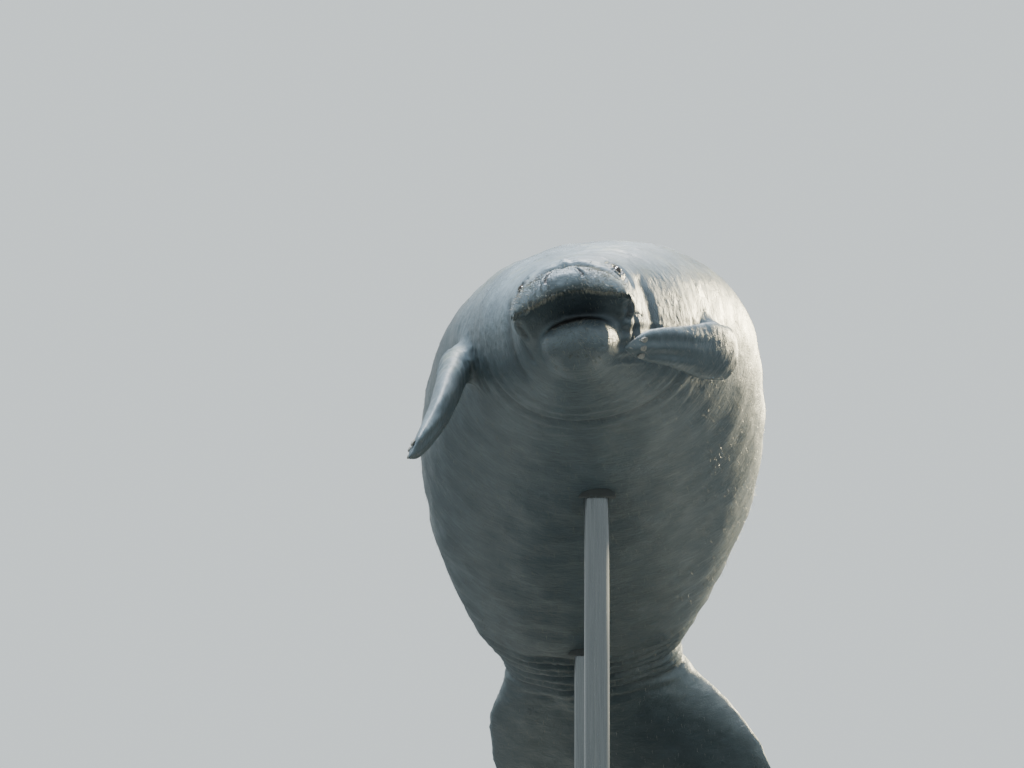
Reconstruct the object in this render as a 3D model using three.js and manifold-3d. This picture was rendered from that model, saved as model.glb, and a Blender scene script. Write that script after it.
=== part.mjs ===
// A life-size West Indian manatee, arched over its belly with the head towards -Y and the tail
// drooping, held on a flat base by two rods.
// Millimetres, +Z up, +X is the animal's left. The origin is the middle of the base's underside.
import * as THREE from "three";
import { mergeVertices } from "three/addons/utils/BufferGeometryUtils.js";
import Module from "manifold-3d";

const wasm = await Module();
wasm.setup();

// Driving dimensions
const bodyLength = 3000; // snout to tail tip, along the spine
const bodyHeight = 1360; // spine above the floor at the deepest part of the trunk
const deepest = 1250; // where that part is, along the spine
const eyeAt = 196;
const eyeAside = 106;
const eyeUp = 83;
const eyeRadius = 12;
const neckCut = 330;
const shoulderCut = 560;
const stockCut = 2020;
const flukeCut = 2330;
const flukeWidest = 2690;
const muzzleRound = 52; // how far back the blunt snout rounds off
const muzzleMiddle = 56; // height that it rounds off towards
const gap = 0.35; // left between pieces that touch
const base = { length: 2000, width: 1100, thickness: 50, corner: 90 };
const rodRadius = 30;
const rodPlaces = { front: -330, rear: 470 }; // along Y
const flange = { radius: 90, thickness: 16 };

const degrees = THREE.MathUtils.degToRad;

// Spine: how far the tail-ward direction falls, turns to the left and rolls, in degrees
const spineBend = [
  // along, fall, turn, roll
  [0, -1, 4.5, 11],
  [300, -3.5, 6, 10],
  [480, -5, 6, 8],
  [700, 5, 4, 7],
  [1000, 17, 0, 6],
  [1300, 24, -1, 6],
  [1650, 32, -1, 6],
  [1950, 41, 1, 5],
  [2200, 50, 9, 5],
  [2450, 58, 18, 5],
  [2700, 62, 23, 5],
  [3000, 64, 25, 5],
];

// Trunk, head and fluke sections: half width, rise above and drop below the spine, squareness
const sections = [
  // along, half width, rise, drop, squareness
  [0, 132, 92, -38, 1.9],
  [60, 136, 104, -42, 1.85],
  [110, 131, 109, -20, 1.85],
  [160, 128, 122, 60, 2.2],
  [200, 132, 131, 128, 2.5],
  [300, 174, 146, 176, 2.4],
  [420, 236, 166, 220, 2.3],
  [600, 302, 198, 268, 2.2],
  [900, 384, 250, 318, 2.1],
  [1250, 424, 284, 350, 2.15],
  [1600, 412, 278, 335, 2.2],
  [1900, 350, 230, 275, 2.15],
  [2080, 290, 178, 210, 2.1],
  [2200, 240, 138, 156, 2.0],
  [2290, 262, 106, 114, 1.85],
  [2420, 362, 75, 80, 1.7],
  [2560, 428, 54, 57, 1.6],
  [2690, 446, 40, 42, 1.55],
  [2850, 446, 26, 27, 1.5],
  [3000, 446, 12, 12, 1.5],
];

// Lower jaw: its own middle below the spine, half width, rise and drop
const jawSections = [
  // along, middle, half width, rise, drop
  [48, -58, 66, 32, 46],
  [110, -54, 78, 40, 72],
  [180, -50, 92, 44, 88],
  [250, -40, 104, 44, 104],
];

// A smooth curve through a table's rows, for the column asked for.
function through(rows, column) {
  const slope = (i) => {
    const before = rows[Math.max(i - 1, 0)];
    const after = rows[Math.min(i + 1, rows.length - 1)];
    return (after[column] - before[column]) / (after[0] - before[0]);
  };
  return (s) => {
    let i = 0;
    while (i < rows.length - 2 && s > rows[i + 1][0]) i++;
    const span = rows[i + 1][0] - rows[i][0];
    const u = THREE.MathUtils.clamp((s - rows[i][0]) / span, 0, 1);
    const [a, b] = [rows[i][column], rows[i + 1][column]];
    const [ma, mb] = [slope(i) * span, slope(i + 1) * span];
    const [u2, u3] = [u * u, u * u * u];
    return a * (2 * u3 - 3 * u2 + 1) + ma * (u3 - 2 * u2 + u) + b * (3 * u2 - 2 * u3) + mb * (u3 - u2);
  };
}

const fall = through(spineBend, 1);
const turn = through(spineBend, 2);
const roll = through(spineBend, 3);

// The spine's place and its side and up directions, worked out in short steps from the deepest part.
function spineDirections(s) {
  const [f, t, r] = [fall(s), turn(s), roll(s)].map(degrees);
  const along = new THREE.Vector3(Math.sin(t), Math.cos(t) * Math.cos(f), -Math.cos(t) * Math.sin(f));
  const up = new THREE.Vector3(0, 0, 1).addScaledVector(along, -along.z).normalize();
  const side = new THREE.Vector3().crossVectors(along, up);
  return {
    along,
    side: side.clone().multiplyScalar(Math.cos(r)).addScaledVector(up, Math.sin(r)),
    up: up.clone().multiplyScalar(Math.cos(r)).addScaledVector(side, -Math.sin(r)),
  };
}
const spineStep = 10;
const spinePoints = [new THREE.Vector3(0, 0, 0)];
for (let s = 0; s < bodyLength; s += spineStep) {
  const last = spinePoints[spinePoints.length - 1];
  spinePoints.push(last.clone().addScaledVector(spineDirections(s + spineStep / 2).along, spineStep));
}
const spineShift = new THREE.Vector3(0, 0, bodyHeight).sub(spinePoints[deepest / spineStep]);
spinePoints.forEach((p) => p.add(spineShift));

function spineFrame(s) {
  const i = THREE.MathUtils.clamp(Math.floor(s / spineStep), 0, spinePoints.length - 2);
  const place = spinePoints[i].clone().lerp(spinePoints[i + 1], s / spineStep - i);
  return { place, ...spineDirections(s) };
}

// A point given by how far along the spine, to the side and up it is.
function bodyPoint(s, x, y) {
  const { place, side, up } = spineFrame(s);
  return place.addScaledVector(side, x).addScaledVector(up, y);
}

// A closed skin through rings of points, with a flat or pointed cap at each end.
function loft(rings) {
  const n = rings[0].length;
  const corners = rings.flat();
  const triangles = [];
  for (let r = 0; r < rings.length - 1; r++)
    for (let k = 0; k < n; k++) {
      const [a, b] = [r * n + k, r * n + ((k + 1) % n)];
      triangles.push(a, b + n, b, a, a + n, b + n);
    }
  for (const [r, turnedRound] of [[0, true], [rings.length - 1, false]]) {
    const middle = rings[r].reduce((sum, p) => sum.add(p), new THREE.Vector3()).divideScalar(n);
    corners.push(middle);
    for (let k = 0; k < n; k++) {
      const [a, b, c] = [r * n + k, r * n + ((k + 1) % n), corners.length - 1];
      triangles.push(...(turnedRound ? [a, b, c] : [b, a, c]));
    }
  }
  const geometry = new THREE.BufferGeometry().setFromPoints(corners);
  geometry.setIndex(triangles);
  return geometry;
}

function solid(geometry) {
  const bare = geometry.clone();
  bare.deleteAttribute("normal");
  bare.deleteAttribute("uv");
  const merged = mergeVertices(bare, 1e-4);
  return new wasm.Manifold(
    new wasm.Mesh({
      numProp: 3,
      vertProperties: new Float32Array(merged.attributes.position.array),
      triVerts: new Uint32Array(merged.index.array),
    }),
  );
}

function geometryOf(piece) {
  const { vertProperties, triVerts } = piece.getMesh();
  const geometry = new THREE.BufferGeometry();
  geometry.setAttribute("position", new THREE.BufferAttribute(new Float32Array(vertProperties), 3));
  geometry.setIndex(new THREE.BufferAttribute(new Uint32Array(triVerts), 1));
  return geometry;
}

// A round-cornered section: u goes from 0 to 1 once round, from the left side over the back.
function sectionPoint(u, halfWidth, rise, drop, squareness) {
  const angle = u * 2 * Math.PI;
  const power = 2 / squareness;
  const x = Math.sign(Math.cos(angle)) * Math.abs(Math.cos(angle)) ** power * halfWidth;
  const y = Math.abs(Math.sin(angle)) ** power * (Math.sin(angle) > 0 ? rise : -drop);
  return [x, y];
}

const [halfWidth, rise, drop, squareness] = [1, 2, 3, 4].map((column) => through(sections, column));

// Distances along the spine, closer together at the head and at the fluke's tip.
function bodyStops() {
  const stops = [0, 3, 10, 22, 38];
  for (let s = 60; s < 330; s += 22) stops.push(s);
  for (let s = 350; s < 2150; s += 80) stops.push(s);
  for (let s = 2170; s < 2860; s += 57) stops.push(s);
  for (const left of [130, 96, 66, 42, 24, 11, 3]) stops.push(bodyLength - left);
  return stops;
}

function bodySolid(extra = 0) {
  const around = 36;
  const rings = bodyStops().map((s) => {
    const blunt = s < muzzleRound ? (1 - (1 - s / muzzleRound) ** 2.4) ** (1 / 2.4) : 1;
    const snout = 0.45 + 0.55 * blunt;
    const pastWidest = Math.max(0, (s - flukeWidest) / (bodyLength - flukeWidest));
    const tip = Math.sqrt(1 - pastWidest ** 2);
    const [w, t, d, n] = [halfWidth(s) * snout * tip, rise(s) * snout, drop(s) * snout, squareness(s)];
    return Array.from({ length: around }, (_, k) => {
      const [x, y] = sectionPoint(k / around, w + extra, t + extra, d + extra, n);
      return bodyPoint(s, x, y + (1 - snout) * muzzleMiddle);
    });
  });
  return solid(loft(rings));
}

function jawSolid() {
  const around = 20;
  const [middle, wide, above, below] = [1, 2, 3, 4].map((column) => through(jawSections, column));
  const front = jawSections[0][0];
  const chinRound = 40;
  const stops = [0, 3, 9, 18, 30, 50, 80, 120, 165, 198];
  const rings = stops.map((ahead) => {
    const s = front + ahead;
    const blunt = ahead < chinRound ? Math.sqrt(1 - (1 - ahead / chinRound) ** 2) : 1;
    const chin = 0.3 + 0.7 * blunt;
    return Array.from({ length: around }, (_, k) => {
      const [x, y] = sectionPoint(k / around, wide(s) * chin, above(s) * chin, below(s) * chin, 2.3);
      return bodyPoint(s, x, y + middle(s));
    });
  });
  return solid(loft(rings));
}

// Flippers: the middle line's points, and where the leading edge faces
const flippers = {
  left: {
    line: [
      [180, -640, 1466],
      [262, -720, 1452],
      [282, -820, 1426],
      [212, -950, 1420],
      [134, -1050, 1416],
      [46, -1130, 1402],
    ],
    leading: [0, -0.6, 1],
    outer: [0, -1, 0],
  },
  right: {
    line: [
      [-240, -590, 1450],
      [-322, -620, 1420],
      [-345, -700, 1365],
      [-368, -790, 1290],
      [-398, -870, 1230],
      [-434, -950, 1170],
    ],
    leading: [0, -1, 0.3],
    outer: [-1, 0, 0],
  },
};
// Across the flipper: share of its length, half of its breadth and half of its thickness
const flipperSections = [
  // share, half breadth, half thickness
  [0, 62, 46],
  [0.15, 58, 42],
  [0.3, 60, 34],
  [0.55, 66, 26],
  [0.8, 53, 17],
  [1, 31, 9],
];

const [broad, thick] = [1, 2].map((column) => through(flipperSections, column));

// The flipper's middle line at a share of its length, with its directions along, across and outwards.
function flipperFrame({ line, leading, outer }, u) {
  const curve = new THREE.CatmullRomCurve3(line.map((p) => new THREE.Vector3(...p)));
  const along = curve.getTangentAt(u);
  const ahead = new THREE.Vector3(...leading);
  const across = ahead.addScaledVector(along, -ahead.dot(along)).normalize();
  const flat = new THREE.Vector3().crossVectors(across, along);
  const outward = Math.sign(flat.dot(new THREE.Vector3(...outer)));
  return { place: curve.getPointAt(u), along, across, flat, outward };
}

function flipperSolid(flipper, extra = 0) {
  const stops = [0, 0.1, 0.18, 0.26, 0.34, 0.42, 0.5, 0.58, 0.66, 0.74, 0.81, 0.87, 0.92, 0.96, 0.985, 0.997];
  const around = 18;
  const tipRound = 0.16;
  const rings = stops.map((u) => {
    const { place, across, flat } = flipperFrame(flipper, u);
    const left = (1 - u) / tipRound;
    const tip = left < 1 ? Math.sqrt(1 - (1 - left) ** 2) : 1;
    const half = thick(u) * Math.sqrt(tip) + extra;
    return Array.from({ length: around }, (_, k) => {
      const [x, y] = sectionPoint(k / around, broad(u) * tip + extra, half, half, 1.9);
      return place.clone().addScaledVector(across, x).addScaledVector(flat, y);
    });
  });
  return solid(loft(rings));
}

// Nails lie on the outer face just short of the flipper's tip.
const nail = { at: 0.92, apart: 19, across: 7, along: 11, thick: 5 };
function nailSolid(flipper, number) {
  const { place, along, across, flat, outward } = flipperFrame(flipper, nail.at);
  const aside = (number - 2) * nail.apart;
  const rise = thick(nail.at) * 0.86 - Math.abs(number - 2) * 2.5;
  const middle = place.addScaledVector(across, aside).addScaledVector(flat, outward * rise);
  const ball = new THREE.SphereGeometry(1, 8, 6).scale(nail.across, nail.along, nail.thick);
  const turned = new THREE.Matrix4().makeBasis(across, along, flat);
  return solid(ball.applyMatrix4(turned.setPosition(middle)));
}

// What is left of a piece between two distances along the spine, short of each by half a gap.
function between(piece, from, to) {
  const [start, end] = [from, to].map(spineFrame);
  const [low, high] = [start, end].map(({ place, along }) => along.dot(place));
  const back = end.along.clone().negate();
  return piece
    .trimByPlane(start.along.toArray(), low + gap / 2)
    .trimByPlane(back.toArray(), gap / 2 - high);
}

function cylinder(radius, from, to, x, y) {
  const geometry = new THREE.CylinderGeometry(radius, radius, to - from, 28);
  return solid(geometry.rotateX(Math.PI / 2).translate(x, y, (from + to) / 2));
}

function baseSolid() {
  const { length, width, thickness, corner } = base;
  const outline = new THREE.Shape();
  const [x, y] = [width / 2 - corner, length / 2 - corner];
  outline.absarc(x, y, corner, 0, Math.PI / 2);
  outline.absarc(-x, y, corner, Math.PI / 2, Math.PI);
  outline.absarc(-x, -y, corner, Math.PI, 1.5 * Math.PI);
  outline.absarc(x, -y, corner, 1.5 * Math.PI, 2 * Math.PI);
  const bevel = { bevelThickness: 6, bevelSize: 6, bevelOffset: -6, bevelSegments: 1 };
  const plate = { depth: thickness - 12, curveSegments: 6, ...bevel };
  return solid(new THREE.ExtrudeGeometry(outline, plate).translate(0, 0, 6));
}

const body = bodySolid();
const bodyRoom = bodySolid(gap);
const jaw = jawSolid().subtract(bodyRoom);

function materialOf(colour, roughness, metalness = 0) {
  return new THREE.MeshStandardMaterial({ color: colour, roughness, metalness });
}
const skin = materialOf(0x8d9096, 0.55);
const horn = materialOf(0xb9ad98, 0.4);
const eyeBall = materialOf(0x1c1512, 0.12);
const steel = materialOf(0xb4b6b8, 0.35, 1);
const paint = materialOf(0x34373b, 0.5);

const group = new THREE.Group();
function add(name, piece, material) {
  const mesh = new THREE.Mesh(geometryOf(piece), material);
  mesh.name = name;
  group.add(mesh);
}

const eyes = { left: eyeAside, right: -eyeAside };
const eyeBalls = Object.entries(eyes).map(([side, x]) => {
  const { x: ex, y: ey, z: ez } = bodyPoint(eyeAt, x, eyeUp);
  const ball = (radius) => solid(new THREE.SphereGeometry(radius, 14, 10).translate(ex, ey, ez));
  return { side, eye: ball(eyeRadius), socket: ball(eyeRadius + gap) };
});
const sockets = eyeBalls.map(({ socket }) => socket);

add("head", between(body, -10, neckCut).subtract(wasm.Manifold.union(sockets)), skin);
add("lower_jaw", jaw, skin);
add("neck", between(body, neckCut, shoulderCut), skin);
add("trunk", between(body, shoulderCut, stockCut), skin);
add("tail_stock", between(body, stockCut, flukeCut), skin);
add("tail_fluke", between(body, flukeCut, bodyLength + 10), skin);
for (const { side, eye } of eyeBalls) add(`eye_${side}`, eye, eyeBall);

for (const [side, flipper] of Object.entries(flippers)) {
  add(`flipper_${side}`, flipperSolid(flipper).subtract(bodyRoom), skin);
  const flipperRoom = flipperSolid(flipper, gap);
  for (const number of [1, 2, 3]) {
    add(`flipper_${side}_nail_${number}`, nailSolid(flipper, number).subtract(flipperRoom), horn);
  }
}

add("stand_base", baseSolid(), paint);
for (const [end, y] of Object.entries(rodPlaces)) {
  const above = spinePoints.reduce((a, b) => (Math.abs(b.y - y) < Math.abs(a.y - y) ? b : a));
  const flangeTop = base.thickness + gap + flange.thickness;
  add(`stand_flange_${end}`, cylinder(flange.radius, base.thickness + gap, flangeTop, above.x, y), steel);
  const rod = cylinder(rodRadius, flangeTop + gap, above.z, above.x, y);
  add(`stand_rod_${end}`, rod.subtract(bodyRoom), steel);
}

export default group;
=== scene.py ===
import math
import time

import bmesh
import bpy
import numpy as np
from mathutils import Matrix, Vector
from mathutils.bvhtree import BVHTree


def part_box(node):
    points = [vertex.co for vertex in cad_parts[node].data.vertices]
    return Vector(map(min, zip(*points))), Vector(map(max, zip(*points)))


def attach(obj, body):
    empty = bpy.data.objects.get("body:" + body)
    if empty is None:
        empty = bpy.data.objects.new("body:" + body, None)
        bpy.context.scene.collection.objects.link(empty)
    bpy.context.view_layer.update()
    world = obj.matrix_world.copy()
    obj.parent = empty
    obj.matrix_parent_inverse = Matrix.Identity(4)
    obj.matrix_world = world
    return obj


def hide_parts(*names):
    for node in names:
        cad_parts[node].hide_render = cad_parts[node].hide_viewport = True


mm = 0.001
started = time.time()
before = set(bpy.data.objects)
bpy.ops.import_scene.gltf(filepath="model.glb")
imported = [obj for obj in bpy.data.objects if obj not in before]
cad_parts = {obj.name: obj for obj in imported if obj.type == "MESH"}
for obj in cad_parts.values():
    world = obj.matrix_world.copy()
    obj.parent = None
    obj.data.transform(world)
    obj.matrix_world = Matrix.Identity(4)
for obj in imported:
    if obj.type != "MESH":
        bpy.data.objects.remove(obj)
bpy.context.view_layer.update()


def report(stage):
    print(f"{time.time() - started:6.1f} s  {stage}")


report(f"frame loaded, {len(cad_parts)} nodes")


# Helpers shared by all pieces

def srgb(code):
    parts = [int(code[i:i + 2], 16) / 255 for i in (1, 3, 5)]
    linear = [c / 12.92 if c <= 0.04045 else ((c + 0.055) / 1.055) ** 2.4 for c in parts]
    return (*linear, 1.0)


def smoothstep(low, high, value):
    t = np.clip((value - low) / (high - low), 0, 1)
    return t * t * (3 - 2 * t)


def unit(vectors):
    return vectors / np.maximum(np.linalg.norm(vectors, axis=-1, keepdims=True), 1e-12)


def addNode(tree, kind, settings=None, inputs=None):
    node = tree.nodes.new(kind)
    for name, value in (settings or {}).items():
        setattr(node, name, value)
    for name, value in (inputs or {}).items():
        if isinstance(value, bpy.types.NodeSocket):
            tree.links.new(value, node.inputs[name])
        else:
            node.inputs[name].default_value = value
    return node


def addPiece(name, mesh):
    piece = bpy.data.objects.new(name, mesh)
    bpy.context.scene.collection.objects.link(piece)
    return piece


def meshOf(name, corners, faces):
    mesh = bpy.data.meshes.new(name)
    mesh.from_pydata(np.asarray(corners).tolist(), [], faces)
    mesh.shade_smooth()
    return mesh


def bakeModifiers(piece):
    graph = bpy.context.evaluated_depsgraph_get()
    finished = bpy.data.meshes.new_from_object(piece.evaluated_get(graph), depsgraph=graph)
    piece.modifiers.clear()
    piece.data = finished


def readVectors(collection, field, width=3):
    flat = np.empty(len(collection) * width, dtype=np.int32 if width == 2 else np.float32)
    collection.foreach_get(field, flat)
    return flat.reshape(-1, width)


def placesOf(mesh):
    return readVectors(mesh.vertices, "co").astype(float)


def setPlaces(mesh, places):
    mesh.vertices.foreach_set("co", np.ascontiguousarray(places, dtype=np.float32).ravel())
    mesh.update()


def normalsOf(mesh):
    return readVectors(mesh.vertex_normals, "vector").astype(float)


# Moves each corner towards the mean of its neighbours, by its own share.
def relaxed(mesh, places, share, rounds):
    ends = readVectors(mesh.edges, "vertices", 2)
    a, b = np.r_[ends[:, 0], ends[:, 1]], np.r_[ends[:, 1], ends[:, 0]]
    count = np.maximum(np.bincount(a, minlength=len(places)), 1)[:, None]
    share = np.broadcast_to(np.asarray(share, float), len(places))[:, None]
    for _ in range(rounds):
        near = np.stack([np.bincount(a, places[b, k], len(places)) for k in range(3)], 1) / count
        places = places + (near - places) * share
    return places


# Camera and studio

camera = {"place": (-0.2, -10.0, 0.39), "pitch": 6.0, "lens": 142.73}

cameraData = bpy.data.cameras.new("camera")
cameraData.lens = camera["lens"]
cameraData.sensor_width = 36
cameraData.clip_end = 200
cameraPiece = addPiece("camera", cameraData)
cameraPiece.location = camera["place"]
cameraPiece.rotation_euler = (math.radians(90 + camera["pitch"]), 0, 0)
bpy.context.scene.camera = cameraPiece

studio = {
    "sky": "#dfe8ea", "skyStrength": 1.2, "floor": "#b2babc", "floorRoughness": 0.85, "floorReach": 60,
    "lights": {  # place, aim, size, watts, colour, spread in degrees
        "key": ((0.5, 0.5, 5.4), (0.0, -0.3, 1.5), 1.0, 58, "#fffaf2", 60),
        "brow": ((-0.7, -2.0, 5.4), (-0.1, -1.0, 1.7), 0.7, 10, "#e4f0fc", 20),
        "rim": ((3.7, 3.7, 2.7), (0.35, 0.3, 1.2), 0.9, 120, "#fff0c4", 50),
    },
}

world = bpy.data.worlds.new("studio air")
world.use_nodes = True
bpy.context.scene.world = world
background = world.node_tree.nodes["Background"]
background.inputs["Color"].default_value = srgb(studio["sky"])
background.inputs["Strength"].default_value = studio["skyStrength"]

for lightName, (place, aim, size, watts, colour, spread) in studio["lights"].items():
    lamp = bpy.data.lights.new(lightName, "AREA")
    lamp.shape = "DISK"
    lamp.size = size
    lamp.energy = watts
    lamp.color = srgb(colour)[:3]
    lamp.spread = math.radians(spread)
    lampPiece = addPiece(lightName, lamp)
    lampPiece.location = place
    lampPiece.rotation_euler = (Vector(place) - Vector(aim)).to_track_quat("Z", "Y").to_euler()
    lampPiece.visible_camera = False

floorPaint = bpy.data.materials.new("studio floor, matt paint")
floorPaint.use_nodes = True
floorShader = floorPaint.node_tree.nodes["Principled BSDF"]
floorShader.inputs["Base Color"].default_value = srgb(studio["floor"])
floorShader.inputs["Roughness"].default_value = studio["floorRoughness"]
reach = studio["floorReach"]
floorCorners = [(-reach, -reach, 0), (reach, -reach, 0), (reach, reach, 0), (-reach, reach, 0)]
floor = addPiece("studio_floor", meshOf("studio_floor", floorCorners, [(0, 1, 2, 3)]))
floor.data.materials.append(floorPaint)
report("camera, lights and floor")


# Body plan, in millimetres along the spine: the same driving sizes as the solids

bodyPlan = {
    "length": 3000, "height": 1360, "deepest": 1250, "flukeWidest": 2690, "muzzleRound": 52, "muzzleMiddle": 56,
    "eyeAt": 196, "eyeAside": 106, "eyeUp": 83, "eyeRadius": 12,
    "spine": [  # along, fall, turn, roll
        (0, -1, 4.5, 11), (300, -3.5, 6, 10), (480, -5, 6, 8), (700, 5, 4, 7), (1000, 17, 0, 6),
        (1300, 24, -1, 6), (1650, 32, -1, 6), (1950, 41, 1, 5), (2200, 50, 9, 5), (2450, 58, 18, 5),
        (2700, 62, 23, 5), (3000, 64, 25, 5),
    ],
    "sections": [  # along, half width, rise, drop, squareness
        (0, 132, 92, -38, 1.9), (60, 136, 104, -42, 1.85), (110, 131, 109, -20, 1.85),
        (160, 128, 122, 60, 2.2), (200, 132, 131, 128, 2.5), (300, 174, 146, 176, 2.4),
        (420, 236, 166, 220, 2.3), (600, 302, 198, 268, 2.2), (900, 384, 250, 318, 2.1),
        (1250, 424, 284, 350, 2.15), (1600, 412, 278, 335, 2.2), (1900, 350, 230, 275, 2.15),
        (2080, 290, 178, 210, 2.1), (2200, 240, 138, 156, 2.0), (2290, 262, 106, 114, 1.85),
        (2420, 362, 75, 80, 1.7), (2560, 428, 54, 57, 1.6), (2690, 446, 40, 42, 1.55),
        (2850, 446, 26, 27, 1.5), (3000, 446, 12, 12, 1.5),
    ],
    "jaw": [  # along, middle, half width, rise, drop
        (48, -58, 66, 32, 46), (110, -54, 78, 40, 72), (180, -50, 92, 44, 88), (250, -40, 104, 44, 104),
    ],
    "flippers": {
        "left": {
            "line": [(180, -640, 1466), (262, -720, 1452), (282, -820, 1426),
                     (212, -950, 1420), (134, -1050, 1416), (46, -1130, 1402)],
            "leading": (0, -0.6, 1), "outer": (0, -1, 0),
        },
        "right": {
            "line": [(-240, -590, 1450), (-322, -620, 1420), (-345, -700, 1365),
                     (-368, -790, 1290), (-398, -870, 1230), (-434, -950, 1170)],
            "leading": (0, -1, 0.3), "outer": (-1, 0, 0),
        },
    },
    "flipperSections": [  # share of the length, half breadth, half thickness
        (0, 62, 46), (0.15, 58, 42), (0.3, 60, 34), (0.55, 66, 26), (0.8, 53, 17), (1, 31, 9),
    ],
}


# A smooth curve through a table's rows, for the column asked for.
def through(rows, column):
    rows = np.asarray(rows, float)
    xs, ys = rows[:, 0], rows[:, column]
    last = len(xs) - 1
    before, after = np.maximum(np.arange(last + 1) - 1, 0), np.minimum(np.arange(last + 1) + 1, last)
    slopes = (ys[after] - ys[before]) / (xs[after] - xs[before])

    def at(s):
        i = np.clip(np.searchsorted(xs, s, side="left") - 1, 0, last - 1)
        span = xs[i + 1] - xs[i]
        u = np.clip((s - xs[i]) / span, 0, 1)
        keep, rise = 2 * u ** 3 - 3 * u ** 2 + 1, u ** 3 - 2 * u ** 2 + u
        return (ys[i] * keep + slopes[i] * span * rise
                + ys[i + 1] * (1 - keep) + slopes[i + 1] * span * (u ** 3 - u ** 2))

    return at


spineAngles = [through(bodyPlan["spine"], column) for column in (1, 2, 3)]
halfWidth, rise, drop, squareness = [through(bodyPlan["sections"], column) for column in (1, 2, 3, 4)]


def spineDirections(s):
    fall, turn, roll = [np.radians(angle(np.asarray(s, float))) for angle in spineAngles]
    along = np.stack([np.sin(turn), np.cos(turn) * np.cos(fall), -np.cos(turn) * np.sin(fall)], -1)
    up = unit(np.array([0.0, 0.0, 1.0]) - along * along[..., 2:])
    side = np.cross(along, up)
    c, r = np.cos(roll)[..., None], np.sin(roll)[..., None]
    return along, side * c + up * r, up * c - side * r


spineStep = 10
spineStops = np.arange(0, bodyPlan["length"] + spineStep, spineStep, dtype=float)
spineSteps = spineDirections(spineStops[:-1] + spineStep / 2)[0] * spineStep
spinePlaces = np.vstack([np.zeros(3), np.cumsum(spineSteps, 0)])
spinePlaces += np.array([0, 0, bodyPlan["height"]]) - spinePlaces[bodyPlan["deepest"] // spineStep]


# Points given by how far along the spine, to the side and up they are, in millimetres.
def bodyPoint(s, x, y):
    s, x, y = np.broadcast_arrays(np.asarray(s, float), x, y)
    i = np.clip((s / spineStep).astype(int), 0, len(spinePlaces) - 2)
    share = (s / spineStep - i)[..., None]
    _, side, up = spineDirections(s)
    middle = spinePlaces[i] * (1 - share) + spinePlaces[i + 1] * share
    return middle + side * x[..., None] + up * y[..., None]


# The other way round: along, to the side and up for points in metres.
def bodyPlace(places):
    points = places / mm
    coarse = spinePlaces[::4]
    nearest = np.empty(len(points), int)
    for start in range(0, len(points), 20000):
        part = points[start:start + 20000]
        nearest[start:start + 20000] = np.argmin(((part[:, None] - coarse[None]) ** 2).sum(-1), 1)
    s = spineStops[::4][nearest]
    for _ in range(3):
        along, side, up = spineDirections(s)
        i = np.clip((s / spineStep).astype(int), 0, len(spinePlaces) - 2)
        share = (s / spineStep - i)[:, None]
        away = points - (spinePlaces[i] * (1 - share) + spinePlaces[i + 1] * share)
        s = np.clip(s + (away * along).sum(1), 0, bodyPlan["length"])
    return s, (away * side).sum(1), (away * up).sum(1)


# Closed lofts through rings of points

def sectionRing(around, width, top, bottom, power):
    angle = np.linspace(0, 2 * np.pi, around, endpoint=False)
    cos, sin = np.cos(angle), np.sin(angle)
    power = (2 / np.asarray(power, float))[..., None]
    x = np.sign(cos) * np.abs(cos) ** power * np.asarray(width)[..., None]
    y = np.abs(sin) ** power * np.where(sin > 0, np.asarray(top)[..., None], -np.asarray(bottom)[..., None])
    return x, y


def loft(rings):
    count, around, _ = rings.shape
    corners = np.vstack([rings.reshape(-1, 3), rings[0].mean(0), rings[-1].mean(0)])
    k = np.arange(around)
    ahead = (k + 1) % around
    faces = []
    for r in range(count - 1):
        a, b = r * around + k, r * around + ahead
        faces += np.stack([a, a + around, b + around, b], 1).tolist()
    top, end = count * around, (count - 1) * around
    faces += np.stack([k, ahead, np.full(around, top)], 1).tolist()
    faces += np.stack([end + ahead, end + k, np.full(around, top + 1)], 1).tolist()
    return corners, faces


def bodyRings(stops, around):
    s = np.asarray(stops, float)
    bluntness, tipShare = 2.4, 0.45
    toTip = np.clip(1 - s / bodyPlan["muzzleRound"], 0, 1)
    blunt = np.where(s < bodyPlan["muzzleRound"], (1 - toTip ** bluntness) ** (1 / bluntness), 1)
    snout = tipShare + (1 - tipShare) * blunt
    widest = bodyPlan["flukeWidest"]
    pastWidest = np.clip((s - widest) / (bodyPlan["length"] - widest), 0, 1)
    tip = np.sqrt(1 - pastWidest ** 2)
    x, y = sectionRing(around, halfWidth(s) * snout * tip, rise(s) * snout, drop(s) * snout, squareness(s))
    return bodyPoint(s[:, None], x, y + ((1 - snout) * bodyPlan["muzzleMiddle"])[:, None])


def jawRings(around):
    ahead = np.r_[0, 1.5, 4, 8, 13, 19, np.arange(26, 200, 8)]
    s = bodyPlan["jaw"][0][0] + ahead
    middle, wide, above, below = [through(bodyPlan["jaw"], column)(s) for column in (1, 2, 3, 4)]
    chin = 0.3 + 0.7 * np.sqrt(1 - np.clip(1 - ahead / 40, 0, 1) ** 2)
    x, y = sectionRing(around, wide * chin, above * chin, below * chin, np.full(len(s), 2.3))
    return bodyPoint(s[:, None], x, y + middle[:, None])


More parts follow.
